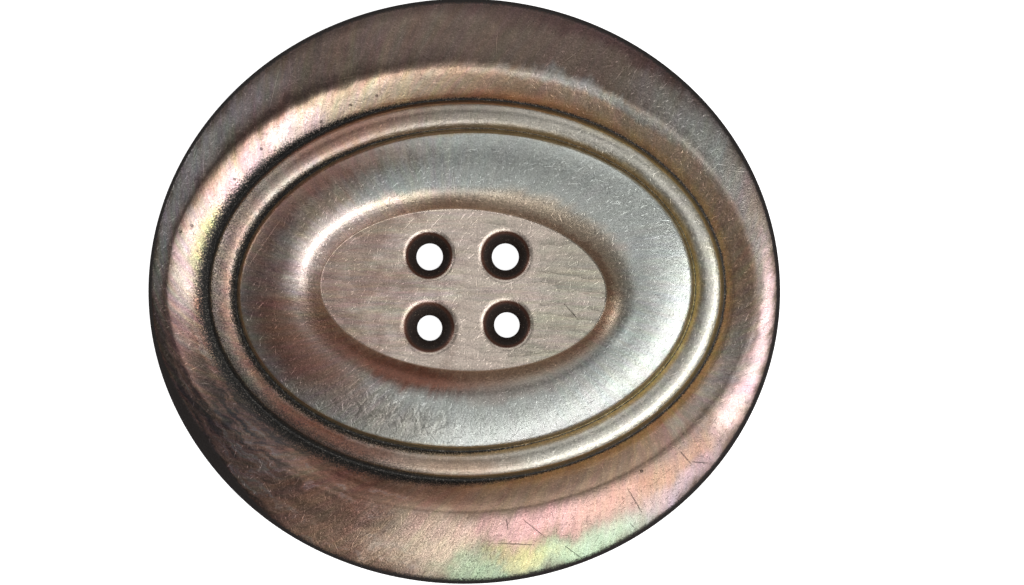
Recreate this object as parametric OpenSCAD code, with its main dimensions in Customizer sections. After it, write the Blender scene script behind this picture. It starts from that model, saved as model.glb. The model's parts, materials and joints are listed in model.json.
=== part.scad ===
// Sew-through shell button: one disc of pearl shell, its face carved with
// nested ovals on an oval-turning chuck, then drilled with four thread holes.
// Millimetres. The back lies on Z = 0 and the origin is the middle of the back.

/* [Blank] */
// Length of the outline, along X
button_w = 42; // [40:0.5:46]
// Height of the outline, along Y
button_h = 38.9; // [37.5:0.1:42]
// Height at which the domed face would reach the outline
rim_z = 2.5; // [2.3:0.1:2.7]
// How much higher than that the dome would stand in its middle
dome_rise = 3; // [2:0.1:3.2]
// Width of the 45 degree bevel round the rim
rim_bevel = 0.25; // [0.15:0.05:0.4]
// Extra width of the rim bevel at its widest place
wide_bevel = 0.65; // [0:0.05:0.8]
// Bearing of the widest place, anticlockwise from +X
wide_bearing = 211; // [180:1:240]
// Half the angle over which the bevel widens and narrows again
wide_span = 26; // [10:1:40]
// Width of the bevel round the back
back_bevel = 0.3; // [0.1:0.05:0.5]

/* [Carved ovals] */
// Length of the flange's crest, as a share of the outline's length
crest_share_w = 0.928; // [0.92:0.002:0.96]
// Height of the flange's crest, as a share of the outline's height
crest_share_h = 0.766; // [0.75:0.002:0.82]
// Length of the cushion, measured at the floor of the inner groove
cushion_w = 30.5; // [29:0.1:31]
// Height of the cushion, measured at the floor of the inner groove
cushion_h = 21.4; // [20:0.1:22]
// Turn of the cushion's long axis
cushion_turn = 2.2; // [-3:0.1:3]
// Width of the bead, from one groove floor to the other
bead_w = 1.95; // [1.7:0.05:2.1]
// Turn of the bead's long axis
bead_turn = 0.7; // [-3:0.1:3]
// Width of the steep wall on the inner side of each groove
wall_w = 0.35; // [0.2:0.05:0.4]
// Length of the flat eye in the middle
eye_w = 19; // [17:0.1:20]
// Height of the flat eye in the middle
eye_h = 10.7; // [10:0.1:11.5]
// Turn of the eye's long axis
eye_turn = -2.8; // [-3:0.1:3]

/* [Carved heights] */
// Top of the cushion, which is the button's full thickness
thickness = 4.2; // [4.2:0.1:4.6]
// Floor of the outer groove, between flange and bead
outer_groove_z = 2.15; // [2:0.05:2.3]
// Crisp outer edge of the bead
bead_edge_z = 3.05; // [2.9:0.05:3.2]
// How far the bead bulges above a straight line across it
bead_bulge = 0.3; // [0.1:0.05:0.4]
// Floor of the inner groove, between bead and cushion
inner_groove_z = 2.85; // [2.7:0.05:3]
// Crisp outer edge of the cushion
cushion_edge_z = 3.6; // [3.4:0.05:3.8]
// Face of the flat eye
eye_z = 3.1; // [3:0.05:3.3]
// Height of the fine step round the eye
eye_step = 0.06; // [0.02:0.01:0.1]

/* [Thread holes] */
// Distance between hole centres along X
hole_pitch_x = 5.05; // [4.8:0.05:5.5]
// Distance between hole centres along Y
hole_pitch_y = 4.7; // [4.5:0.05:5]
// Radius of the two upper holes
upper_hole_r = 0.9; // [0.8:0.05:1]
// Radius of the two lower holes
lower_hole_r = 0.85; // [0.8:0.05:1]
// Radius of the countersinks at the face
sink_r = 1.6; // [1.3:0.05:1.7]
// Depth of the countersinks
sink_depth = 1; // [0.6:0.1:1.2]
// Width of the small bevel round each hole at the back
hole_bevel = 0.15; // [0.05:0.05:0.3]

/* [Hidden] */

segments = 96;      // steps round each oval, a multiple of four
bore_fn = 64;       // facets of a round hole when it is previewed
past = 1;           // how far the cutters run past the faces
crest_at = 0.6;     // where the cushion is highest, as a share of the way in
crest_middle = [-0.15, 0.15];
carving_middle = [0.1, 0.1];
hole_middle = [0.2, -0.05];

// The holes were drilled by eye. Each row is one hole: its corner of the
// pattern, how far off that corner it lies, its radius and its countersink's.
holes = [
    [[1, 1], [0, 0], upper_hole_r, sink_r + 0.05],
    [[-1, 1], [0, 0], upper_hole_r, sink_r - 0.05],
    [[-1, -1], [0, -0.05], lower_hole_r, sink_r + 0.15],
    [[1, -1], [0.1, 0.15], lower_hole_r, sink_r]
];

function mix(a, b, u) = a + (b - a) * u;

// An oval is [half length, half height, middle, turn].
function grown(oval, by) = [oval[0] + by, oval[1] + by, oval[2], oval[3]];

outline = [button_w / 2, button_h / 2, [0, 0], 0];
crest = [outline[0] * crest_share_w, outline[1] * crest_share_h, crest_middle, 0];
inner_groove = [cushion_w / 2, cushion_h / 2, carving_middle, cushion_turn];
outer_groove = [cushion_w / 2 + bead_w, cushion_h / 2 + bead_w, carving_middle, bead_turn];
bead_edge = grown(outer_groove, -wall_w);
cushion_edge = grown(inner_groove, -wall_w);
eye = [eye_w / 2, eye_h / 2, carving_middle, eye_turn];

// The point of an oval at turning angle a.
function on_oval(oval, a) =
    let (x = oval[0] * cos(a), y = oval[1] * sin(a), t = oval[3])
    [x * cos(t) - y * sin(t), x * sin(t) + y * cos(t)] + oval[2];

// Height of the blank's domed face above the point p.
function dome_z(p) =
    rim_z + dome_rise * (1 - pow(p[0] / outline[0], 2) - pow(p[1] / outline[1], 2));

// Width of the rim bevel at turning angle a, swelling smoothly at one place.
function bevel_at(a) =
    let (off = min(1, abs(a - wide_bearing) / wide_span))
    rim_bevel + wide_bevel * pow(cos(90 * off), 2);

// Heights across the bead and the cushion, u running inward from 0 to 1.
function bead_z(u) = mix(bead_edge_z, inner_groove_z, u) + bead_bulge * 4 * u * (1 - u);
function cushion_z(u) = u < crest_at
    ? thickness - (thickness - cushion_edge_z) * pow(1 - u / crest_at, 2)
    : thickness - (thickness - eye_z - eye_step) * pow((u - crest_at) / (1 - crest_at), 2.2);

// One ring of points at one height.
function flat_ring(oval, z) =
    [for (i = [0:segments - 1]) concat(on_oval(oval, i * 360 / segments), z)];

// Rings of the flange: the foot of its bevel, its dome, and its inner slope.
function foot_ring() =
    [for (i = [0:segments - 1]) let (a = i * 360 / segments)
        concat(on_oval(outline, a), rim_z - bevel_at(a))];
function dome_ring(u) =
    [for (i = [0:segments - 1]) let (
            a = i * 360 / segments,
            p = mix(on_oval(grown(outline, -bevel_at(a)), a), on_oval(crest, a), u))
        concat(p, dome_z(p))];
function slope_ring(u) =
    [for (i = [0:segments - 1]) let (
            a = i * 360 / segments,
            p = mix(on_oval(crest, a), on_oval(outer_groove, a), u))
        concat(p, mix(dome_z(on_oval(crest, a)), outer_groove_z, pow(u, 1.3)))];

// Every ring, from the back round the rim and over the carved face to the eye.
rings = concat(
    [flat_ring(grown(outline, -back_bevel), 0), flat_ring(outline, back_bevel), foot_ring()],
    [for (u = [0:0.25:1]) dome_ring(u)],
    [for (u = [0.2:0.2:1]) slope_ring(u)],
    [for (u = [0:0.2:1]) flat_ring(mix(bead_edge, inner_groove, u), bead_z(u))],
    [for (u = [0:0.1:1]) flat_ring(mix(cushion_edge, eye, u), cushion_z(u))],
    [flat_ring(eye, eye_z)]);

// The undrilled disc: its rings joined into one closed skin.
module carved_blank() {
    top = (len(rings) - 1) * segments;
    polyhedron(
        points = [for (r = rings) each r],
        faces = concat(
            [[for (i = [0:segments - 1]) i]],
            [for (k = [0:segments:top - 1], i = [0:segments - 1])
                let (j = (i + 1) % segments)
                [k + i, k + segments + i, k + segments + j, k + j]],
            [[for (i = [segments - 1:-1:0]) top + i]]));
}

// What one thread hole takes away: drill, countersink and the bevel behind.
module thread_hole(hole_r, face_r) {
    sink_slope = (face_r - hole_r) / sink_depth;
    translate([0, 0, -past])
        cylinder(r = hole_r, h = thickness + 2 * past, $fn = bore_fn);
    translate([0, 0, eye_z - sink_depth])
        cylinder(r1 = hole_r, r2 = face_r + sink_slope * past, h = sink_depth + past, $fn = bore_fn);
    translate([0, 0, -past])
        cylinder(r1 = hole_r + hole_bevel + past, r2 = hole_r, h = hole_bevel + past, $fn = bore_fn);
}

module carved_shell_disc() {
    color("rosybrown") difference() {
        carved_blank();
        for (hole = holes) {
            at = hole_middle + hole[1]
                + [hole[0][0] * hole_pitch_x, hole[0][1] * hole_pitch_y] / 2;
            translate([at[0], at[1], 0]) thread_hole(hole[2], hole[3]);
        }
    }
}

carved_shell_disc();
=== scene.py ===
# %% [markdown]
# # A carved pearl-shell button
# This lesson builds a large sew-through button in Blender. The real one is a single disc, sawn from
# the smoky shell of the black-lipped pearl oyster. Its face was carved with nested ovals on an
# oval-turning chuck, drilled four times, and polished. Nothing is assembled, so there is one piece:
# all the work goes into a faithful section, and into the way that nacre takes the light.
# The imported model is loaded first, because it holds the true size and the true places of the holes.

# %% Load the frame
import bmesh
import bpy
import json
from collections import namedtuple
from math import atan2, cos, degrees, pi, radians, sin
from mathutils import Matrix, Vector


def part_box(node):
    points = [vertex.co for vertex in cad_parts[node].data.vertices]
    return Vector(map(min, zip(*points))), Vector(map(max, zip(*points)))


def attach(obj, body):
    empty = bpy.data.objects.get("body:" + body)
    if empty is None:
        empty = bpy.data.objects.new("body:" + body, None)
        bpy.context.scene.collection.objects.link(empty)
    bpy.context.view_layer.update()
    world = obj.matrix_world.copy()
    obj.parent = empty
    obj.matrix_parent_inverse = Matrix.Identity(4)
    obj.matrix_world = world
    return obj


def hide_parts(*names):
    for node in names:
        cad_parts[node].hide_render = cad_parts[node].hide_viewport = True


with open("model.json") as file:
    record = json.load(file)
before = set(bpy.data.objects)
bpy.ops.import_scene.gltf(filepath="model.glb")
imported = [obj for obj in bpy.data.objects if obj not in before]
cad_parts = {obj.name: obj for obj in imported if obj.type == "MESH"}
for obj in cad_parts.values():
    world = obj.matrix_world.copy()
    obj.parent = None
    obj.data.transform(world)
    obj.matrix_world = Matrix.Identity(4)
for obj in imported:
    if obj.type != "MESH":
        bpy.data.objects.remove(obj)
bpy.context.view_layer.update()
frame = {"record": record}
MM = 0.001
half_w, half_h, thickness = (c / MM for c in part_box("carved_shell_disc")[1])
holes = [m for m in frame["record"]["mounts"] if m["kind"] == "bore"]
print(f"disc {2 * half_w:.2f} x {2 * half_h:.2f} x {thickness:.2f} mm with {len(holes)} thread holes")

# %% [markdown]
# ## The ovals
# Every edge on the face is an oval. The turner shifted and tilted the work a little between cuts,
# so each oval has a middle and a turn of its own, and that is what makes the button look hand made.
# A small record holds one oval, and one function gives the point at any turning angle.
# The bead between the two grooves has the same width all round, so its outer oval is the inner one
# grown by a constant amount. Scaling the oval would make the bead wider at the ends.

# %% Ovals of the carving, in millimetres
Oval = namedtuple("Oval", "long short x y turn")


def grown(oval, by):
    return oval._replace(long=oval.long + by, short=oval.short + by)


def between(a, b, u):
    return Oval(*(p + (q - p) * u for p, q in zip(a, b)))


def on_oval(oval, angle):
    x, y, t = oval.long * cos(angle), oval.short * sin(angle), radians(oval.turn)
    return Vector((x * cos(t) - y * sin(t) + oval.x, x * sin(t) + y * cos(t) + oval.y))


CREST_LONG, CREST_SHORT = 0.928, 0.766    # the crest's place, in shares of the outline
EDGE_IN = 0.35                            # from a groove's floor to the crisp edge inside it
outline = Oval(half_w, half_h, 0, 0, 0)
crest = Oval(half_w * CREST_LONG, half_h * CREST_SHORT, -0.15, 0.15, 0)
outer_groove = Oval(17.2, 12.65, 0.1, 0.1, 0.7)
inner_groove = Oval(15.25, 10.7, 0.1, 0.1, 2.2)
bead_edge = grown(outer_groove, -EDGE_IN)
cushion_edge = grown(inner_groove, -EDGE_IN)
eye = Oval(9.5, 5.35, -0.05, 0.1, -2.8)
print(f"the bead is {outer_groove.long - inner_groove.long:.2f} mm wide all round")

# %% [markdown]
# ## The heights
# The blank is a low dome. The flange keeps that dome outside its crest, and slopes down inside it
# to the outer groove. The bead is a half round, and the cushion rises gently from a crisp edge and
# then rolls over, ever more steeply, down to the flat eye. Each stretch is one short formula, with
# u running inward from 0 to 1, so a stretch can be made as smooth as needed by taking more passes.

# %% Heights across the face, in millimetres
RIM_Z, DOME_RISE = 2.5, 3.0
OUTER_GROOVE_Z, BEAD_EDGE_Z, BEAD_BULGE, INNER_GROOVE_Z = 2.15, 3.05, 0.3, 2.85
CUSHION_EDGE_Z, EYE_Z, EYE_STEP = 3.6, 3.1, 0.06
BACK_BEVEL, RIM_BEVEL, WIDE_BEVEL = 0.3, 0.25, 0.65
WIDE_AT, WIDE_SPAN = 211, 26      # degrees: where the rim's bevel widens, and its reach each way
CUSHION_TOP_AT = 0.6              # share of the way from the cushion's edge to the eye
SLOPE_BOW, ROLL_BOW = 1.3, 2.2    # powers: the higher, the later a stretch turns steep


def mix(a, b, u):
    return a + (b - a) * u


def dome_z(p):
    return RIM_Z + DOME_RISE * (1 - (p.x / half_w) ** 2 - (p.y / half_h) ** 2)


def bevel_at(angle):
    off = min(1, abs(degrees(angle) % 360 - WIDE_AT) / WIDE_SPAN)
    return RIM_BEVEL + WIDE_BEVEL * cos(off * pi / 2) ** 2


def bead_z(u):
    return mix(BEAD_EDGE_Z, INNER_GROOVE_Z, u) + BEAD_BULGE * 4 * u * (1 - u)


def cushion_z(u):
    if u < CUSHION_TOP_AT:
        return thickness - (thickness - CUSHION_EDGE_Z) * (1 - u / CUSHION_TOP_AT) ** 2
    fall = (u - CUSHION_TOP_AT) / (1 - CUSHION_TOP_AT)
    return thickness - (thickness - EYE_Z - EYE_STEP) * fall ** ROLL_BOW


print(f"the cushion stands {thickness - EYE_Z:.1f} mm over the eye, {thickness:.1f} mm over the back")

# %% [markdown]
# ## One pass of the tool
# The mesh is made as the button was: pass by pass. It starts from one loop of edges, and each pass
# extrudes the open loop and moves the new vertices onto the next line of the section. So a pass is
# a rule from turning angle to place, and a zone, which numbers the stretches of the section: below
# 1 the back and the rim, 1 to 2 the flange, 2 to 3 its slope, 3 to 5 the bead, 5 to 8 the cushion,
# and from 8 up the eye and its holes. A spin would be simpler, but a spin makes circles.

# %% The section, as a list of passes
SEGMENTS = 360
GUARD = 0.1            # mm, a level margin that keeps soft shading off the flat faces
STEP_FOOT = 0.03       # mm, how far the fine step round the eye leans inward
WALL_ROUNDING = 0.11   # how much a steep wall is eased at both its ends
Pass = namedtuple("Pass", "zone place")


def level(oval, z):
    return lambda a: (*on_oval(oval, a), z)


def on_dome(u):
    def place(a):
        p = mix(on_oval(grown(outline, -bevel_at(a)), a), on_oval(crest, a), u)
        return (*p, dome_z(p))
    return place


def on_slope(u):
    def place(a):
        p = mix(on_oval(crest, a), on_oval(outer_groove, a), u)
        return (*p, mix(dome_z(on_oval(crest, a)), OUTER_GROOVE_Z, u ** SLOPE_BOW))
    return place


def on_wall(low, high, z_low, z_high, u):
    """Up a steep wall, rounded a little at its foot and at its arris."""
    rise = u - WALL_ROUNDING * sin(2 * pi * u)
    return level(between(low, high, u), mix(z_low, z_high, rise))


def steps(count, start=0):
    return [i / count for i in range(start, count + 1)]


section = [Pass(0.2, level(grown(outline, -BACK_BEVEL - GUARD), 0)),
           Pass(0.3, level(grown(outline, -BACK_BEVEL), 0)),
           Pass(0.5, level(outline, BACK_BEVEL)),
           Pass(0.8, lambda a: (*on_oval(outline, a), RIM_Z - bevel_at(a)))]
section += [Pass(1 + u, on_dome(u)) for u in steps(18)]
section += [Pass(2 + u, on_slope(u)) for u in steps(16, 1)]
section += [Pass(3 + u, on_wall(outer_groove, bead_edge, OUTER_GROOVE_Z, BEAD_EDGE_Z, u))
            for u in steps(7, 1)]
section += [Pass(4 + u, level(between(bead_edge, inner_groove, u), bead_z(u)))
            for u in steps(16, 1)]
section += [Pass(5 + u, on_wall(inner_groove, cushion_edge, INNER_GROOVE_Z, CUSHION_EDGE_Z, u))
            for u in steps(7, 1)]
section += [Pass(mix(6, 8, u), level(between(cushion_edge, eye, u), cushion_z(u)))
            for u in steps(48, 1)]
section += [Pass(8.2, level(grown(eye, -STEP_FOOT), EYE_Z)),
            Pass(8.5, level(grown(eye, -GUARD), EYE_Z))]
print(f"the section has {len(section)} passes of {SEGMENTS} steps")

# %% [markdown]
# ## Turning the disc
# The bmesh starts as one circle of edges. Two layers ride on its vertices: the turning angle, which
# extruding copies to each new vertex, and the zone of the pass that made it. The finish reads the
# zone later, to know where on the carving it is.

# %% Turn the disc
disc = bmesh.new()
turn_layer = disc.verts.layers.float.new("turn")
zone_layer = disc.verts.layers.float.new("zone")


def open_edges(bm):
    return [e for e in bm.edges if len(e.link_faces) < 2]


def next_loop(bm, edges):
    """Extrudes a loop of edges and returns the new loop."""
    made = set(bmesh.ops.extrude_edge_only(bm, edges=edges)["geom"])
    return [g for g in made if isinstance(g, bmesh.types.BMEdge) and made.issuperset(g.verts)]


def set_loop(verts, cut):
    for v in verts:
        v.co = cut.place(v[turn_layer])
        v[zone_layer] = cut.zone


bmesh.ops.create_circle(disc, cap_ends=False, radius=1, segments=SEGMENTS)
for v in disc.verts:
    v[turn_layer] = atan2(v.co.y, v.co.x)
set_loop(disc.verts, section[0])
loop = back_loop = list(disc.edges)
for cut in section[1:]:
    loop = next_loop(disc, loop)
    set_loop({v for e in loop for v in e.verts}, cut)
eye_loop = loop
print(f"turned skin: {len(disc.faces)} faces, {len(open_edges(disc))} open edges")

# %% [markdown]
# ## Soften the flange's crest
# The two slopes of the flange meet in an edge, but on the real piece that edge was rounded away by
# the polisher. Smoothing only the height of the vertices near it keeps every oval where it is.

# %% Round the crest
POLISHES, POLISHED = 4, 0.2    # rounds of smoothing, and their reach in zones
near_crest = [v for v in disc.verts if 2 - POLISHED < v[zone_layer] < 2 + POLISHED]
for _ in range(POLISHES):
    bmesh.ops.smooth_vert(disc, verts=near_crest, factor=0.5, use_axis_z=True)
print(f"crest rounded over {len(near_crest)} vertices")

# %% [markdown]
# ## The thread holes
# Each hole is a straight bore of the size and place that the model says, with a countersink cut
# by hand in front of it and a light touch of the drill behind. The countersinks differ a little in
# width, and sit about a tenth of a millimetre off their holes. A hole is made like the disc:
# a circle in the plane of the eye is extruded down the funnel, through the bore and out at the back.

# %% Drill the holes
HOLE_STEPS = 72
SINK_DEPTH, SINK_LIP, SINK_DRIFT, BACK_CHAMFER = 1.0, 0.25, 0.1, 0.15
SINK_BOW = 1.9    # a power: the funnel starts level and ends steep
SINK_RADII = {"upper_right": 1.65, "upper_left": 1.55, "lower_left": 1.75, "lower_right": 1.6}


def hole_passes(bore, sink):
    """Radius, height, drift and zone of each loop, from the face to the back."""
    mouth = sink + SINK_LIP
    yield mouth + GUARD, EYE_Z, SINK_DRIFT, 8.5
    yield mouth, EYE_Z, SINK_DRIFT, 8.6
    for u in steps(16, 1):
        z = EYE_Z - SINK_DEPTH * u ** SINK_BOW
        yield mix(mouth, bore, u), z, SINK_DRIFT * (1 - u), mix(8.6, 9.5, u)
    yield bore, EYE_Z - SINK_DEPTH - GUARD, 0, 9.6
    yield bore, BACK_CHAMFER + GUARD / 2, 0, 9.8
    yield bore, BACK_CHAMFER, 0, 9.8
    yield bore + BACK_CHAMFER, 0, 0, 9.9
    yield bore + BACK_CHAMFER + GUARD, 0, 0, 0.2


face_loops, behind_loops = list(eye_loop), list(back_loop)
for hole in holes:
    x, y = (c / MM for c in hole["pos_m"][:2])
    sink = SINK_RADII[hole["name"].removesuffix("_hole")]
    loop = []
    for radius, z, drift, zone in hole_passes(hole["dims"]["r_mm"], sink):
        if not loop:
            ring = bmesh.ops.create_circle(disc, cap_ends=False, radius=1, segments=HOLE_STEPS)
            for v in ring["verts"]:
                v[turn_layer] = atan2(v.co.y, v.co.x)
            loop = list({e for v in ring["verts"] for e in v.link_edges})
            face_loops += loop
        else:
            loop = next_loop(disc, loop)
        set_loop({v for e in loop for v in e.verts},
                 Pass(zone, lambda a: (x + radius * cos(a), y + drift + radius * sin(a), z)))
    behind_loops += loop
print(f"{len(holes)} holes drilled")

# %% [markdown]
# ## Close the eye and the back
# The eye is one flat face with four holes in it, and so is the back. A triangle fill closes such a
# face between all its loops at once. The last loop on each side of it already lies in its plane,
# so every corner of the fill points straight up and no shading creeps in from the edges.

# %% Fill the two flat faces
bmesh.ops.triangle_fill(disc, use_beauty=True, edges=face_loops, normal=(0, 0, 1))
bmesh.ops.triangle_fill(disc, use_beauty=True, edges=behind_loops, normal=(0, 0, -1))
bmesh.ops.recalc_face_normals(disc, faces=disc.faces)
print(f"closed: {not open_edges(disc)}, volume {disc.calc_volume():.0f} cubic mm")

# %% [markdown]
# ## From bmesh to object
# Up to here one unit was a millimetre. The scene counts in metres, so the mesh itself is scaled and
# the object stays unscaled at the origin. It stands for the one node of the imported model.

# %% Make the object
bmesh.ops.scale(disc, vec=(MM, MM, MM), verts=disc.verts)
for f in disc.faces:
    f.smooth = True
mesh = bpy.data.meshes.new("carved_shell_button")
disc.to_mesh(mesh)
button = bpy.data.objects.new("carved_shell_button", mesh)
bpy.context.collection.objects.link(button)
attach(button, "root")
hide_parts("carved_shell_disc")
print(f"{button.name}: {sum(len(p.vertices) - 2 for p in mesh.polygons)} triangles")

# %% [markdown]
# ## Colours and nodes
# Colours are written as the sRGB hex values that a painter would pick, and one function turns them
# into the linear values that Blender wants. A second small function adds any shader node: its
# settings by name, and its inputs either filled with a value or linked to another node's output.
# The material is smoky pearl shell, sawn, turned and polished. It gives the eye a soft, deep sheen
# in greys and browns, with flushes of rose and green, and not the sharp gloss of glass or paint.


# %% Two helpers
def tint(code):
    channels = (int(code[i:i + 2], 16) / 255 for i in (1, 3, 5))
    return (*(c / 12.92 if c <= 0.04045 else ((c + 0.055) / 1.055) ** 2.4 for c in channels), 1)


nacre = bpy.data.materials.new("smoky_pearl_shell")
nacre.use_nodes = True
tree = nacre.node_tree
shader = tree.nodes["Principled BSDF"]


def add(kind, inputs, out=0, **settings):
    """Adds a shader node, sets it up, and returns one of its outputs."""
    node = tree.nodes.new("ShaderNode" + kind)
    for name, value in settings.items():
        setattr(node, name, value)
    for key, value in inputs.items():
        if isinstance(value, bpy.types.NodeSocket):
            tree.links.new(value, node.inputs[key])
        else:
            node.inputs[key].default_value = value
    return node.outputs[out]


print(f"{nacre.name} starts from a {shader.name}")

# %% [markdown]
# ## Where a point lies on the shell
# Nacre is not painted at random: its colours follow the carving, because each cut meets the layers
# at its own slope. So the finish asks three things of a point: its place in millimetres, its
# direction from the middle, and its zone on the section, which the passes of the tool wrote down.
# Dividing by the half sizes before normalising turns the place into the direction on the ovals.
# Two kinds of mask are wanted often: one side of the button, and one stretch of its section.

# %% Place, direction and zone
metres = add("TexCoord", {}, out="Object")
place = add("VectorMath", {0: metres, "Scale": 1 / MM}, operation="SCALE")
flat = add("VectorMath", {0: place, 1: (1, 1, 0)}, operation="MULTIPLY")
rounded = add("VectorMath", {0: flat, 1: (1 / half_w, 1 / half_h, 0)}, operation="MULTIPLY")
direction = add("VectorMath", {0: rounded}, operation="NORMALIZE")
zone = add("Attribute", {}, out="Fac", attribute_name="zone")


def side(turn, reach):
    """A mask that is full at one turning angle and has faded out at a reach, both in degrees."""
    towards = (cos(radians(turn)), sin(radians(turn)), 0)
    facing = add("VectorMath", {0: direction, 1: towards}, out="Value", operation="DOT_PRODUCT")
    return add("MapRange", {"Value": facing, 1: cos(radians(reach)), 2: 1.0},
               interpolation_type="SMOOTHSTEP")


def stretch(low, high, soft):
    """A mask over the zones between low and high, with soft ends."""
    above = add("MapRange", {"Value": zone, 1: low - soft, 2: low + soft})
    below = add("MapRange", {"Value": zone, 1: high + soft, 2: high - soft})
    return add("Math", {0: above, 1: below}, operation="MULTIPLY")


eye_floor = add("MapRange", {"Value": zone, 1: 8.02, 2: 8.16}, interpolation_type="SMOOTHSTEP")
back = add("MapRange", {"Value": zone, 1: 0.45, 2: 0.35})
level_faces = add("Math", {0: eye_floor, 1: back}, operation="MAXIMUM")
print(f"place, direction and zone read, {len(tree.nodes)} nodes so far")

# %% [markdown]
# ## Fibres
# Under polish the shell still shows its grain: hair-fine fibres that run outward across the ring of
# the carving, and lean as they go. In the flat eye and on the back they lie level instead. The real
# fibres are some hundredths of a millimetre wide. They are drawn ten times as coarse, to show.
# Noise on the direction, with hardly any of the zone in it, gives threads that run outward. One
# step of the direction is about 18 mm along the flange, and that turns a width into a scale.

# %% Fibres and streaks
ALONG = 18.0                                 # mm round the flange to one unit of direction
FIBRE, THREAD, STREAK = 0.3, 0.5, 1.2        # mm wide on the flange
LYING_LONG, LYING_WIDE = 1.11, 0.128         # mm, in the eye and on the back
sway = add("Math", {0: side(20, 70), 1: 0.24, 2: -0.1}, operation="MULTIPLY_ADD")
outer_part = add("MapRange", {"Value": zone, 1: 1.0, 2: 3.0, 3: -1.0, 4: 1.0})
sway = add("Math", {0: sway, 1: outer_part}, operation="MULTIPLY")
lean = add("Math", {0: zone, 1: -0.04, 2: sway}, operation="MULTIPLY_ADD")
leaning = add("VectorRotate", {"Vector": direction, "Angle": lean}, rotation_type="Z_AXIS")
rooted = add("CombineXYZ", {"Z": add("Math", {0: zone, 1: 0.05}, operation="MULTIPLY")})
outward = add("VectorMath", {0: leaning, 1: rooted}, operation="ADD")
cell = FIBRE / ALONG
lying = add("VectorMath", {0: place, 1: (cell / LYING_LONG, cell / LYING_WIDE, cell / LYING_WIDE)},
            operation="MULTIPLY")
fibre_at = add("Mix", {0: level_faces, 4: outward, 5: lying}, out=1, data_type="VECTOR")
fibres = add("TexNoise", {"Vector": fibre_at, "Scale": ALONG / FIBRE, "Detail": 4.0,
                          "Roughness": 0.7})
streaks = add("TexNoise", {"Vector": fibre_at, "Scale": ALONG / STREAK, "Detail": 4.0,
                           "Roughness": 0.65}, out="Color")
threads = add("TexNoise", {"Vector": fibre_at, "Scale": ALONG / THREAD, "Detail": 3.0,
                           "Roughness": 0.6}, out="Color")
print(f"fibres {FIBRE} mm, threads {THREAD} mm and streaks {STREAK} mm wide on the flange")

# %% [markdown]
# ## Clouds that bend every border
# The tints of a real shell run into each other in soft, crooked fronts that follow the fibres.
# A cloudy noise about 3 mm across and the streaks are both added to the direction and the zone
# before any tint is placed, so no border is true. Each noise is centred on zero first.

# %% Bent coordinates
CLOUD = 2.94                                  # mm across
STREAK_BEND, CLOUD_BEND, ZONE_BEND = 0.14, 0.34, 0.5
centring = -(STREAK_BEND + CLOUD_BEND) / 2
clouds = add("TexNoise", {"Vector": place, "Scale": 1 / CLOUD, "Detail": 4.0, "Roughness": 0.62},
             out="Color")
bend = add("VectorMath", {0: streaks, 1: (STREAK_BEND, STREAK_BEND, ZONE_BEND),
                          2: (centring, centring, -ZONE_BEND)}, operation="MULTIPLY_ADD")
bend = add("VectorMath", {0: clouds, 1: (CLOUD_BEND, CLOUD_BEND, ZONE_BEND), 2: bend},
           operation="MULTIPLY_ADD")
upright = add("CombineXYZ", {"Z": zone})
straight = add("VectorMath", {0: direction, 1: upright}, operation="ADD")
bent = add("VectorMath", {0: straight, 1: bend}, operation="ADD")
print(f"borders bent by clouds {CLOUD} mm across")

# %% [markdown]
# ## The ground colour of each stretch
# From the rim to the eye, each stretch of the section has its own ground: smoky brown on the flange,
# tan on its slope, bronze where the steep walls cut straight through the layers, oyster on the bead
# and silver on the cushion. A colour ramp on the zone lays them down in one go.

# %% Ground colours
SHELL = {"smoke brown": "#75645a", "umber": "#44352f", "plum": "#58403f", "taupe": "#8d7b70",
         "tan": "#a58a74", "bronze": "#a08b66", "olive gold": "#b3a36a", "chestnut": "#744838",
         "rose brown": "#96705f", "walnut": "#844f33", "silver": "#a7aaa5", "pale silver": "#ced3cd",
         "steel": "#a09d9c", "stone": "#857c70", "cream": "#d6c2aa", "pearl": "#ead7cf",
         "peach": "#cf9c7e", "rose": "#cba09b", "pink": "#dcbcbd", "lilac": "#a58f97",
         "straw": "#c3bb84", "sea green": "#9cb394", "blue smoke": "#454447", "oyster": "#b0aba0",
         "pale oyster": "#d4d1c5", "soot": "#1d1b19"}
GROUND = [(1.0, "umber"), (1.2, "smoke brown"), (1.9, "smoke brown"), (2.12, "tan"), (3.0, "tan"),
          (3.3, "bronze"), (3.9, "bronze"), (4.05, "oyster"), (4.75, "oyster"), (5.1, "bronze"),
          (5.9, "bronze"), (6.05, "silver"), (7.35, "silver"), (7.6, "stone"), (7.8, "tan")]
bent_zone = add("SeparateXYZ", {0: bent}, out="Z")
along = add("MapRange", {"Value": add("Mix", {0: 0.3, 2: zone, 3: bent_zone}), 1: 0.0, 2: 10.0})
colour = add("ValToRGB", {"Fac": along})
stops = colour.node.color_ramp.elements
for at, name in GROUND[2:]:
    stops.new(at / 10)
for stop, (at, name) in zip(stops, GROUND):
    stop.position, stop.color = at / 10, tint(SHELL[name])
print(f"{len(stops)} grounds from rim to eye")
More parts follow.
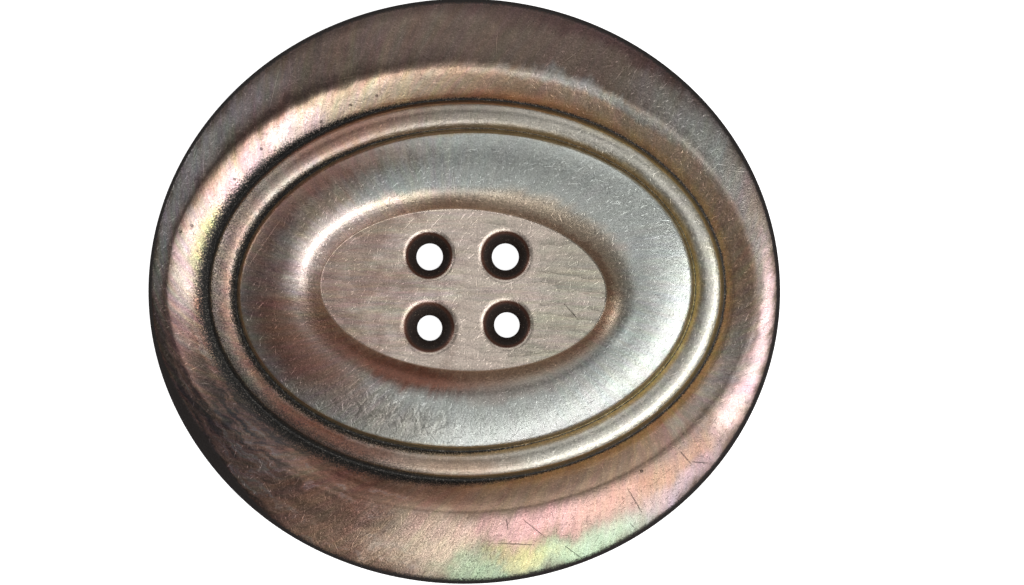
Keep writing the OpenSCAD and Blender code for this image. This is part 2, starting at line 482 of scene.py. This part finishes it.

# %% [markdown]
# ## Blooms of colour
# The black-lipped oyster lays down grey, brown and silver nacre with flushes of rose, peach and sea
# green. Most blooms are such flushes. The pale ones where the key lamp's highlight falls are partly
# painted highlight, one cream bloom lightens the roll where it lies in shade, and one umber bloom
# is painted shade along the crest. Each bloom is a soft oval patch at a turning angle and a zone,
# with its half widths in degrees and in zones, its tint and its strength. They are laid over each
# other like glazes, from the rim inward.

# %% Where the shell's tints bloom, and where highlight and shade are painted
BLOOMS_AND_HIGHLIGHTS = [
    # the flange outside its crest
    (60, 1.12, 40, 0.2, "plum", 0.7), (28, 1.55, 27, 0.6, "silver", 0.75),
    (14, 1.35, 18, 0.5, "taupe", 0.6),
    # umber at 132 degrees: painted shade along the crest at the upper left
    (132, 1.95, 46, 0.2, "umber", 0.7), (158, 1.4, 32, 0.46, "steel", 0.95),
    (210, 1.4, 26, 0.7, "blue smoke", 0.9), (243, 1.5, 15, 0.8, "rose brown", 0.9),
    (245, 1.3, 12, 0.5, "tan", 0.8),
    (262, 1.55, 14, 0.6, "cream", 0.9), (272, 1.15, 10, 0.3, "sea green", 0.7),
    (295, 1.2, 16, 0.3, "sea green", 0.8), (283, 1.35, 8, 0.3, "straw", 0.7),
    (285, 1.75, 26, 0.3, "rose", 0.8), (310, 1.6, 20, 0.4, "peach", 0.35),
    (306, 1.3, 14, 0.4, "steel", 0.3), (316, 1.25, 12, 0.25, "lilac", 0.5),
    (340, 1.45, 16, 0.35, "pink", 0.75), (358, 1.4, 14, 0.3, "pink", 0.85),
    # the slope inside it
    (40, 2.5, 40, 0.5, "cream", 0.35), (55, 2.1, 34, 0.22, "silver", 0.75),
    # cream at 118, pink at 150, pearl at 176 and 134: the shell's pale pink, and painted highlight
    # where the key lamp lights the slope
    (75, 2.85, 20, 0.3, "peach", 0.5), (118, 2.65, 36, 0.5, "cream", 0.8),
    (150, 2.6, 32, 0.45, "pink", 0.7), (176, 2.3, 16, 0.4, "pearl", 0.75),
    (134, 2.6, 10, 0.5, "pearl", 0.6), (167, 2.72, 10, 0.3, "straw", 0.8),
    (182, 2.85, 5, 0.25, "peach", 0.9), (192, 2.1, 8, 0.4, "rose", 0.5),
    (213, 2.4, 24, 0.9, "blue smoke", 1.0), (242, 2.5, 15, 0.7, "chestnut", 0.95),
    (264, 2.5, 16, 0.6, "rose brown", 0.85), (342, 2.3, 22, 0.5, "steel", 0.6),
    # the bead between its walls
    (120, 3.6, 55, 0.6, "walnut", 0.9), (10, 3.7, 60, 0.5, "olive gold", 0.8),
    (220, 3.6, 45, 0.6, "umber", 0.8), (10, 4.3, 50, 0.5, "pale oyster", 0.7),
    (30, 4.9, 60, 0.28, "bronze", 0.7), (345, 5.1, 45, 0.35, "straw", 0.5),
    (100, 4.4, 34, 0.8, "stone", 0.7), (126, 4.3, 28, 0.7, "rose brown", 0.9),
    # pearl at 178: painted highlight on the bead's inner flank
    (174, 4.3, 24, 0.6, "peach", 0.5), (178, 4.3, 20, 0.5, "pearl", 0.6),
    (200, 4.6, 50, 0.4, "rose brown", 0.8),
    (228, 4.4, 34, 0.7, "chestnut", 0.9), (268, 4.4, 22, 0.6, "tan", 0.8),
    (325, 4.4, 36, 0.5, "pale oyster", 0.9), (150, 5.6, 60, 0.5, "peach", 0.6),
    # the cushion
    (22, 6.2, 50, 0.7, "pale silver", 0.6), (32, 5.85, 28, 0.45, "pale silver", 0.9),
    (300, 6.0, 24, 0.4, "steel", 0.5), (332, 6.7, 22, 0.4, "silver", 0.6),
    (126, 6.3, 26, 0.7, "taupe", 0.8), (243, 6.4, 22, 0.7, "stone", 0.5),
    (150, 6.2, 36, 0.6, "chestnut", 0.8), (198, 6.8, 42, 1.1, "chestnut", 0.88),
    # pearl at 158: painted highlight where the cushion starts to roll
    (148, 6.9, 20, 0.4, "tan", 0.7), (158, 7.35, 24, 0.4, "pearl", 0.8),
    # the roll that falls into the eye
    # cream at 40: painted light on the side of the roll that lies in shade
    (20, 7.45, 40, 0.24, "silver", 0.6), (40, 7.7, 52, 0.45, "cream", 0.75),
    (295, 7.35, 34, 0.3, "taupe", 0.5),
    # cream at 130 and pearl at 152: painted highlight on the roll
    (130, 7.7, 30, 0.35, "cream", 0.85), (152, 7.75, 30, 0.5, "pearl", 0.95),
    (236, 7.7, 58, 0.45, "chestnut", 0.95), (10, 7.92, 60, 0.12, "walnut", 0.4),
    # pale silver at 343: a painted highlight spot on the roll
    (343, 7.35, 9, 0.18, "pale silver", 0.8)]
FADED_OUT, FULL = 1.25, 0.2    # how far out a bloom ends, and how far out it is whole
for turn, at, wide, deep, name, strength in BLOOMS_AND_HIGHLIGHTS:
    a, w = radians(turn), radians(wide)
    middle = (-cos(a) / w, -sin(a) / w, -at / deep)
    near = add("VectorMath", {0: bent, 1: (1 / w, 1 / w, 1 / deep), 2: middle},
               operation="MULTIPLY_ADD")
    away = add("VectorMath", {0: near}, out="Value", operation="LENGTH")
    cover = add("MapRange", {"Value": away, 1: FADED_OUT, 2: FULL, 4: strength},
                interpolation_type="SMOOTHSTEP")
    colour = add("Mix", {0: cover, 6: colour, 7: tint(SHELL[name])}, out=2, data_type="RGBA")
print(f"{len(BLOOMS_AND_HIGHLIGHTS)} blooms laid in {len(SHELL)} tints")

# %% [markdown]
# ## Smoke at the lower left
# On one side of the flange the blank reached the dark border of the shell. There the tints lie in
# crooked wisps along the rim, black, brown and grey. Noise in the bent place, drawn out along the
# turning angle by scaling the zone more than the direction, gives such wisps, about 5 mm long.

# %% Wisps of smoke
WISP_LONG, WISPS_PER_ZONE = 5.0, 4.2    # mm along the flange, and how many lie across a zone
wisps = add("VectorMath", {0: bent, 1: (ALONG / WISP_LONG, ALONG / WISP_LONG, WISPS_PER_ZONE)},
            operation="MULTIPLY")
wisps = add("TexNoise", {"Vector": wisps, "Scale": 1.0, "Detail": 4.0, "Roughness": 0.6})
smoke = add("ValToRGB", {"Fac": add("MapRange", {"Value": wisps, 1: 0.3, 2: 0.7})})
stops = smoke.node.color_ramp.elements
stops.new(0.34)
stops.new(0.62)
for stop, name in zip(stops, ("soot", "umber", "rose brown", "steel")):
    stop.color = tint(SHELL[name])
SMOKE_STRENGTH = 0.42
smoky = add("Math", {0: side(222, 52), 1: stretch(1.0, 3.0, 0.1)}, operation="MULTIPLY")
smoky = add("Math", {0: smoky, 1: SMOKE_STRENGTH}, operation="MULTIPLY")
colour = add("Mix", {0: smoky, 6: colour, 7: smoke}, out=2, data_type="RGBA")
print(f"smoke laid with {len(stops)} tints")

# %% [markdown]
# ## The eye and its growth lines
# The flat eye is cut across the layers of the shell, so it shows them as wavy lines, as wood shows
# its rings. They lie about 0.9 mm apart. Counting the layers upward with a level, stretched noise
# added, and keeping only the fraction, gives each line its sharp dark edge and slow fade. The same
# noise in another channel lets the lines come and go. The eye is rosy grey on the left, pale in
# the middle and a greenish cream on the right, where the lines show most.

# %% Growth lines
LINE_PITCH = 0.9                      # mm from one growth line to the next
LINE_DRIFT, LINE_TILT = 4.0, 0.13     # in lines: how far they waver, and how they climb per mm
TINT_DRIFT = 22.0                     # mm that the clouds push the borders of the eye's tints
WAVE_LONG, WAVE_HIGH = 7.7, 2.0       # mm, the waver of a line
stretched = add("VectorMath", {0: place, 1: (1 / WAVE_LONG, 1 / WAVE_HIGH, 0)}, operation="MULTIPLY")
wavy = add("TexNoise", {"Vector": stretched, "Scale": 1.0, "Detail": 4.0, "Roughness": 0.55},
           out="Color")
drift = add("VectorMath", {0: wavy, 1: (LINE_DRIFT, 0, 0)}, out="Value", operation="DOT_PRODUCT")
climb = add("VectorMath", {0: place, 1: (LINE_TILT, 1 / LINE_PITCH, 0)}, out="Value",
            operation="DOT_PRODUCT")
layer = add("Math", {0: climb, 1: drift}, operation="ADD")
growth = add("Math", {0: layer}, operation="FRACT")
showing = add("SeparateColor", {0: wavy}, out="Green")
showing = add("MapRange", {"Value": showing, 1: 0.4, 2: 0.54})
wander = add("SeparateColor", {0: clouds}, out="Red")
across = add("SeparateXYZ", {0: place}, out="X")
across = add("Math", {0: wander, 1: TINT_DRIFT, 2: across}, operation="MULTIPLY_ADD")
eye_colour = tint("#a48e81")
for low, high, code in ((3.0, 11.0, "#cabbae"), (13.0, 19.0, "#b6ae9f")):
    cover = add("MapRange", {"Value": across, 1: low, 2: high}, interpolation_type="SMOOTHSTEP")
    eye_colour = add("Mix", {0: cover, 6: eye_colour, 7: tint(code)}, out=2, data_type="RGBA")
colour = add("Mix", {0: eye_floor, 6: colour, 7: eye_colour}, out=2, data_type="RGBA")
lined = add("Math", {0: cover, 1: 0.5, 2: 0.5}, operation="MULTIPLY_ADD")
for mask in (showing, eye_floor):
    lined = add("Math", {0: lined, 1: mask}, operation="MULTIPLY")
print(f"growth lines {LINE_PITCH} mm apart")

# %% [markdown]
# ## The back and the rim
# The back was ground flat on the outside of the shell, where it is plainest: broad level bands of
# soot, brown and dull grey. The upright rim is the edge of all the layers, so it shows them as
# lines parallel to the back, drawn 0.4 mm thick because the real ones are too fine to show.

# %% Back and rim
BAND_HIGH = 3.64                    # mm, one level band on the back
LAYER_LONG, LAYER_HIGH = 20, 0.417  # mm, one layer at the rim
banded = add("TexNoise", {"Vector": stretched, "Scale": WAVE_HIGH / BAND_HIGH, "Detail": 5.0,
                          "Roughness": 0.6, "Distortion": 0.4})
rim_at = add("VectorMath", {0: place, 1: (1 / LAYER_LONG, 1 / LAYER_LONG, 1 / LAYER_HIGH), 2: bend},
             operation="MULTIPLY_ADD")
layers = add("TexNoise", {"Vector": rim_at, "Scale": 1.0, "Detail": 4.0, "Roughness": 0.7})
rim = add("MapRange", {"Value": zone, 1: 0.98, 2: 0.8})
for texture, mask, names in ((layers, rim, ("soot", "umber", "smoke brown", "taupe")),
                             (banded, back, ("soot", "umber", "smoke brown", "steel"))):
    faces = add("ValToRGB", {"Fac": add("MapRange", {"Value": texture, 1: 0.3, 2: 0.7})})
    stops = faces.node.color_ramp.elements
    for i in (1, 2):
        stops.new(i / 3)
    for stop, name in zip(stops, names):
        stop.color = tint(SHELL[name])
    colour = add("Mix", {0: mask, 6: colour, 7: faces}, out=2, data_type="RGBA")
print(f"rim and back in {len(names)} tints each")

# %% [markdown]
# ## Grain
# Between the fibres the nacre has a grain as fine as dust, a slow mottle, and on the lower left of
# the cushion a crinkle where the cutter crossed the layers. The play of colour in the streaks and
# the threads is laid over the tints, so that each tint breaks up into warmer and cooler hairs.

# %% Grain and play of colour
DUST, GRAIN, MOTTLE, CRINKLE = 0.091, 0.154, 0.77, 1.0    # mm across; real dust is finer
fine = add("TexNoise", {"Vector": place, "Scale": 1 / DUST, "Detail": 2.0, "Roughness": 0.6})
grain = add("TexNoise", {"Vector": place, "Scale": 1 / GRAIN, "Detail": 2.0, "Roughness": 0.7})
mottle = add("TexNoise", {"Vector": place, "Scale": 1 / MOTTLE, "Detail": 3.0, "Roughness": 0.6})
crinkle = add("TexNoise", {"Vector": place, "Scale": 1 / CRINKLE, "Detail": 4.0, "Roughness": 0.5,
                           "Distortion": 0.7})
crossed = add("Math", {0: side(243, 34), 1: stretch(6.3, 7.2, 0.2)}, operation="MULTIPLY")
combed = add("MapRange", {"Value": zone, 1: 3.0, 2: 3.2, 3: 0.35, 4: 0.1})
for mask, share in ((stretch(2.0, 3.0, 0.1), 0.15), (side(145, 75), 0.4), (side(205, 50), 0.4),
                    (side(345, 45), 0.3)):
    combed = add("Math", {0: mask, 1: share, 2: combed}, operation="MULTIPLY_ADD")
for play, share in ((streaks, 0.3), (threads, 0.16)):
    strength = add("Math", {0: combed, 1: share}, operation="MULTIPLY")
    colour = add("Mix", {0: strength, 6: colour, 7: play}, out=2, data_type="RGBA",
                 blend_type="OVERLAY")
print(f"grain {GRAIN} mm and mottle {MOTTLE} mm across")

# %% [markdown]
# ## Scratches
# Decades in a button box leave short scratches that run any way. Each layer of them starts from a
# Voronoi: every cell turns its own middle to a random angle, and draws one thin lens there, or
# none. The coarse layer holds the long ones and the fine layer the rubbing. A real hairline is too
# thin to show, so each is drawn about 0.06 mm wide.


# %% Layers of scratches
def scratch_layer(cells_per_mm, half_length, half_width, shift, share):
    spread = add("VectorMath", {0: place, 1: (1, 1, 0), 2: (shift, shift, 0)},
                 operation="MULTIPLY_ADD")
    cell = add("TexVoronoi", {"Vector": spread, "Scale": cells_per_mm}, out="Position")
    chances = cell.node.outputs["Color"]
    first, second = (add("SeparateColor", {0: chances}, out=channel) for channel in ("Red", "Green"))
    angle = add("Math", {0: first, 1: 2 * pi}, operation="MULTIPLY")
    drawn = add("Math", {0: second, 1: share}, operation="LESS_THAN")
    inward = add("VectorMath", {0: spread, 1: cell}, operation="SUBTRACT")
    turned = add("VectorRotate", {"Vector": inward, "Angle": angle}, rotation_type="Z_AXIS")
    lens = add("VectorMath", {0: turned, 1: (1 / half_length, 1 / half_width, 0)},
               operation="MULTIPLY")
    away = add("VectorMath", {0: lens}, out="Value", operation="LENGTH")
    line = add("MapRange", {"Value": away, 1: 1.0, 2: 0.4})
    return add("Math", {0: line, 1: drawn}, operation="MULTIPLY")


# cells to the millimetre, half length, half width, shift, share of cells drawn, depth
WEAR = [(0.3, 1.2, 0.03, 3.1, 0.35, 0.6), (0.9, 0.42, 0.028, 7.7, 0.55, 0.7),
        (2.4, 0.17, 0.03, 1.3, 0.7, 0.7)]
worn = 0.0
for *shape, depth in WEAR:
    worn = add("Math", {0: scratch_layer(*shape), 1: depth, 2: worn}, operation="MULTIPLY_ADD")
print(f"{len(WEAR)} layers of scratches")

# %% [markdown]
# ## The scratches that everyone sees
# A few deep scratches and pits are part of this button's face, so they are placed one by one, from
# one end to the other in millimetres. The two distances from a point on such a line to its ends add
# up
# to its length, and those from a point beside it to a trifle more. A narrow step on that sum draws
# a lens. The back has none of them.

# %% Deep scratches and pits
PALE = [((-12.1, 15.4), (-12.9, 12.1)), ((-11.6, 15.4), (-11.5, 14.3)), ((-3.9, 14.8), (-4.3, 13.9)),
        ((2.2, 17.5), (2.1, 15.3)), ((4.6, 17.9), (5.0, 17.7)), ((7.6, 15.9), (6.5, 15.1)),
        ((10.8, 14.9), (9.8, 13.8)), ((12.8, 14.0), (11.6, 13.5)), ((-12.0, 4.9), (-14.3, 1.6)),
        ((-9.0, -15.8), (-8.2, -17.6)), ((-6.7, -15.6), (-7.8, -17.5)), ((5.4, -8.4), (5.1, -9.4)),
        ((4.4, -10.9), (4.2, -11.5)), ((1.0, 4.9), (0.3, 4.1)), ((0.8, 1.0), (0.9, -0.4))]
DARK = [((10.8, -13.0), (11.8, -14.7)), ((3.9, -15.1), (5.4, -16.3)), ((2.3, -16.7), (4.7, -16.8)),
        ((2.8, -15.0), (2.9, -15.8)), ((14.3, -10.6), (15.1, -11.5)), ((15.1, -11.3), (16.2, -11.4)),
        ((6.7, -16.9), (7.9, -17.8)), ((6.6, -0.8), (7.5, -1.8)), ((11.0, -15.4), (11.3, -15.7))]
PITS = [((-18.8, 3.9), (-18.8, 4.0)), ((-18.0, 4.3), (-18.1, 4.4)), ((-15.2, 7.4), (-15.3, 7.5)),
        ((-13.4, 9.4), (-13.5, 9.5)), ((-9.5, 11.2), (-9.5, 11.3)), ((-7.5, 12.3), (-7.6, 12.4)),
        ((-5.8, 12.9), (-5.8, 13.0)), ((11.7, -11.9), (11.8, -11.9))]


def deep_scratches(ends, half_width):
    mask = None
    for start, end in ends:
        length = (Vector(end) - Vector(start)).length
        beside = 2 * half_width ** 2 / length
        first = add("VectorMath", {0: flat, 1: (*start, 0)}, out="Value", operation="DISTANCE")
        second = add("VectorMath", {0: flat, 1: (*end, 0)}, out="Value", operation="DISTANCE")
        both = add("Math", {0: first, 1: second}, operation="ADD")
        line = add("MapRange", {"Value": both, 1: length + 1.2 * beside, 2: length + 0.4 * beside})
        mask = add("Math", {0: mask, 1: line}, operation="MAXIMUM") if mask else line
    return add("Mix", {0: back, 2: mask, 3: 0.0})


pale_lines = deep_scratches(PALE, 0.04)
dark_lines = deep_scratches(DARK, 0.035)
pits = deep_scratches(PITS, 0.07)
print(f"{len(PALE) + len(DARK)} deep scratches and {len(PITS)} pits")

# %% [markdown]
# ## Light and dark
# All the fine textures now make one number that lightens or darkens the tint under them. The bright
# specks are dust-sized chips that catch the light.

# %% Light and dark of the grain
specks = add("MapRange", {"Value": fine, 1: 0.64, 2: 0.74})
lift = 1.0
for texture, swing in ((fibres, 0.16), (streaks, 0.22), (grain, 0.14), (fine, 0.2), (mottle, 0.1)):
    varied = add("MapRange", {"Value": texture, 1: 0.3, 2: 0.7, 3: 1 - swing, 4: 1 + swing})
    if texture in (fibres, streaks):
        varied = add("Mix", {0: combed, 2: 1.0, 3: varied})
    lift = add("Math", {0: varied, 1: lift}, operation="MULTIPLY")
lines = add("MapRange", {"Value": growth, 1: 0.0, 2: 0.5, 3: 0.62, 4: 1.04})
lines = add("Mix", {0: lined, 2: 1.0, 3: lines})
lift = add("Math", {0: lift, 1: lines}, operation="MULTIPLY")
for mask, amount in ((specks, 0.6), (worn, 0.3), (pale_lines, 0.7), (dark_lines, -0.4), (pits, -0.5)):
    lift = add("Math", {0: mask, 1: amount, 2: lift}, operation="MULTIPLY_ADD")
colour = add("HueSaturation", {"Color": colour, "Value": lift})
print(f"the tints vary with the grain, {len(tree.nodes)} nodes so far")

# %% [markdown]
# ## Grime and painted shade
# The grooves are painted dark. Part of it is the dirt of long wear and part is painted shade, so the
# band is widest at the left, away from the key lamp. Its mask is a soft step on the zone, broken up
# by the fine grain so that it ends in specks, and its reach differs from side to side.

# %% Grime and painted shade in the grooves
# the left side, where the painted shade and the dirt in the grooves reach widest
shaded_dirty_side = side(198, 100)
speckled = add("MapRange", {"Value": fine, 1: 0.3, 2: 0.7, 3: -0.5, 4: 0.5})


def shade_and_grime(floor, outward, inward):
    """Dirt and painted shade on a groove's floor. Each reach is a pair, for the lit and the shaded
    side.
    """
    past = add("Math", {0: zone, 1: floor}, operation="SUBTRACT")
    sides = []
    for sign, (thin, wide) in ((-1, outward), (1, inward)):
        reach = add("MapRange", {"Value": shaded_dirty_side, 3: sign * thin, 4: sign * wide})
        sides.append(add("Math", {0: past, 1: reach}, operation="DIVIDE"))
    away = add("Math", {0: sides[0], 1: sides[1]}, operation="MAXIMUM")
    away = add("Math", {0: away, 1: speckled}, operation="ADD")
    return add("MapRange", {"Value": away, 1: 1.5, 2: 0.5}, interpolation_type="SMOOTHSTEP")


# painted shade and real dirt: both grooves dark, most of all on the shaded left
outer_shade_and_grime = shade_and_grime(3.0, (0.06, 0.27), (0.13, 1.1))
inner_shade_and_grime = shade_and_grime(5.0, (0.025, 0.25), (0.06, 0.34))
shade_and_grime_mask = add("Math", {0: outer_shade_and_grime, 1: inner_shade_and_grime}, operation="MAXIMUM")
dust = add("MapRange", {"Value": fine, 1: 0.56, 2: 0.7, 4: 0.6})
shade_and_dirt = add("Mix", {0: dust, 6: tint("#1d1b19"), 7: tint("#a8a298")}, out=2, data_type="RGBA")
print("grime laid in the two grooves")

# %% [markdown]
# ## Rim and holes
# The countersinks are painted reddish brown at the lip and nearly black in the bore. The dark skin
# of the shell shows on the rim's bevel, and a painted highlight runs pale round the crisp edge of the
# eye.

# %% Rim and holes
dark_bore_colour = add("Mix", {0: specks, 6: tint("#2a201b"), 7: tint("#8a7a6a")}, out=2, data_type="RGBA")
skin = add("Math", {0: speckled, 1: 0.08, 2: zone}, operation="MULTIPLY_ADD")
skin = add("MapRange", {"Value": skin, 1: 1.04, 2: 0.98}, interpolation_type="SMOOTHSTEP")
above_foot = add("MapRange", {"Value": zone, 1: 0.74, 2: 0.8})
skin = add("Math", {0: skin, 1: above_foot}, operation="MULTIPLY")
# the countersinks are painted reddish brown at the lip and nearly black down the bore
lip = add("MapRange", {"Value": zone, 1: 8.78, 2: 8.9}, interpolation_type="SMOOTHSTEP")
dark_bore = add("Math", {0: speckled, 1: 0.03, 2: zone}, operation="MULTIPLY_ADD")
dark_bore = add("MapRange", {"Value": dark_bore, 1: 8.84, 2: 9.12}, interpolation_type="SMOOTHSTEP")
# a painted highlight: a pale line round the crisp edge of the eye
arris = stretch(8.0, 8.06, 0.03)
for mask, paint in ((arris, tint("#e0cdbb")), (lip, tint("#644032")), (dark_bore, dark_bore_colour),
                    (skin, tint("#231d1b")), (shade_and_grime_mask, shade_and_dirt)):
    colour = add("Mix", {0: mask, 6: colour, 7: paint}, out=2, data_type="RGBA")
print("skin on the bevel, brown in the holes")

# %% [markdown]
# ## The finish of the surface
# Nacre shines from below its surface, through hundreds of clear plates. It is drawn as a soft
# metal, because a metal reflects in its own colour as nacre does, with a thin clear coat for the
# polish on top. The dirt and painted shade in the grooves, the skin and the dark countersinks are
# neither, so the metal fades there. Roughness is that of a worn polish, and the IOR stays at 1.5, a
# little under that of shell. The heights of the fine relief are in millimetres, which the bump's
# distance turns to metres.

# %% Finish the shader
CRINKLE_RISE, COAT_ROUGHNESS = 0.11, 0.22
fibre_rise = add("Mix", {0: level_faces, 2: shaded_dirty_side, 3: 0.0})
fibre_rise = add("Math", {0: fibre_rise, 1: 0.016, 2: 0.004}, operation="MULTIPLY_ADD")
crinkle_rise = add("Math", {0: crossed, 1: CRINKLE_RISE}, operation="MULTIPLY")
relief = 0.0
for texture, rise in ((fibres, fibre_rise), (grain, 0.01), (mottle, 0.02), (worn, -0.01),
                      (pale_lines, -0.03), (dark_lines, -0.03), (pits, -0.06), (lines, 0.02),
                      (crinkle, crinkle_rise)):
    relief = add("Math", {0: texture, 1: rise, 2: relief}, operation="MULTIPLY_ADD")
bump = add("Bump", {"Strength": 1.0, "Distance": MM, "Height": relief})
dull = skin
for mask in (dark_bore, shade_and_grime_mask):
    dull = add("Math", {0: dull, 1: mask}, operation="MAXIMUM")
roughness = add("MapRange", {"Value": grain, 1: 0.3, 2: 0.7, 3: 0.3, 4: 0.42})
roughness = add("Math", {0: dull, 1: 0.2, 2: roughness}, operation="MULTIPLY_ADD")
metal = add("MapRange", {"Value": dull, 3: 0.85, 4: 0.1})
polish = add("MapRange", {"Value": dull, 3: 0.2, 4: 0.0})
for name, value in (("Base Color", colour), ("Normal", bump), ("Roughness", roughness),
                    ("Metallic", metal), ("Coat Weight", polish)):
    tree.links.new(value, shader.inputs[name])
shader.inputs["Coat Roughness"].default_value = COAT_ROUGHNESS
button.data.materials.append(nacre)
print(f"{nacre.name}: {len(tree.nodes)} nodes")

# %% [markdown]
# ## The floor
# The button lies on a light table, a plain white plane that glows a little, so it stays white even
# through the thread holes. It lies a hair under the back, because two faces in one plane flicker.
# Glossy rays miss it, or its glow would wash out the bevel at the rim.

# %% Floor and air
FLOOR_HALF, FLOOR_GAP = 2, 0.05 * MM
FLOOR_GLOW, AIR_GLOW = 0.95, 0.12
WHITE, PAPER = (1, 1, 1, 1), (0.8, 0.8, 0.8, 1)
scene = bpy.context.scene
scene.view_settings.view_transform = "Standard"
world = bpy.data.worlds.new("studio")
scene.world = world
world.use_nodes = True
world.node_tree.nodes["Background"].inputs["Color"].default_value = WHITE
world.node_tree.nodes["Background"].inputs["Strength"].default_value = AIR_GLOW

bench = bmesh.new()
bmesh.ops.create_grid(bench, x_segments=1, y_segments=1, size=FLOOR_HALF)
floor_mesh = bpy.data.meshes.new("light_table")
bench.to_mesh(floor_mesh)
floor = bpy.data.objects.new("light_table", floor_mesh)
bpy.context.collection.objects.link(floor)
floor.location.z = -FLOOR_GAP
floor.visible_glossy = False
glow = bpy.data.materials.new("light_table")
glow.use_nodes = True
paper = glow.node_tree.nodes["Principled BSDF"]
paper.inputs["Base Color"].default_value = PAPER
paper.inputs["Emission Color"].default_value = WHITE
paper.inputs["Emission Strength"].default_value = FLOOR_GLOW
floor.data.materials.append(glow)
print(f"{floor.name} lies {FLOOR_GAP / MM:.2f} mm under the back")

# %% [markdown]
# ## The lamps
# Carving shows by its highlights, and each of them is the picture of a lamp. A long soft box at the
# lower right draws the bright line round the grooves, one overhead lifts the flat faces, a weak one
# behind keeps the far slopes from going black, and a small one at the left kindles the roll.


# %% Soft boxes
def softbox(name, azimuth, elevation, distance, size, power):
    """A lamp at angles in degrees and a distance in metres, turned to the button."""
    a, e = radians(azimuth), radians(elevation)
    lamp = bpy.data.lights.new(name, "AREA")
    lamp.shape, lamp.energy = "RECTANGLE", power
    lamp.size, lamp.size_y = size
    holder = bpy.data.objects.new(name, lamp)
    towards = Vector((cos(a) * cos(e), sin(a) * cos(e), sin(e)))
    holder.location = towards * distance
    holder.rotation_euler = towards.to_track_quat("Z", "Y").to_euler()
    bpy.context.collection.objects.link(holder)
    print(f"{name}: {power} W from {azimuth} degrees, {elevation} up")


softbox("key", 318, 52, 0.5, (0.85, 0.2), 2.1)
softbox("top", 330, 82, 0.7, (0.5, 0.5), 0.6)
softbox("fill", 95, 40, 0.6, (0.8, 0.3), 0.9)
softbox("kicker", 156, 25, 0.5, (0.16, 0.1), 0.3)

# %% [markdown]
# ## The camera
# It looks straight down through a long lens, so that no side of the button leans outward. Its
# height follows from the width of the field, as the lens is to the sensor.

# %% Camera
LENS, SENSOR = 150, 36
FIELD, AIM_X, AIM_Y = 68.6 * MM, 3.17 * MM, -0.08 * MM
camera = bpy.data.objects.new("camera", bpy.data.cameras.new("camera"))
bpy.context.collection.objects.link(camera)
camera.data.lens = LENS
camera.location = (AIM_X, AIM_Y, FIELD * LENS / SENSOR)
scene.camera = camera
print(f"camera {camera.location.z * 1000:.0f} mm above the back")
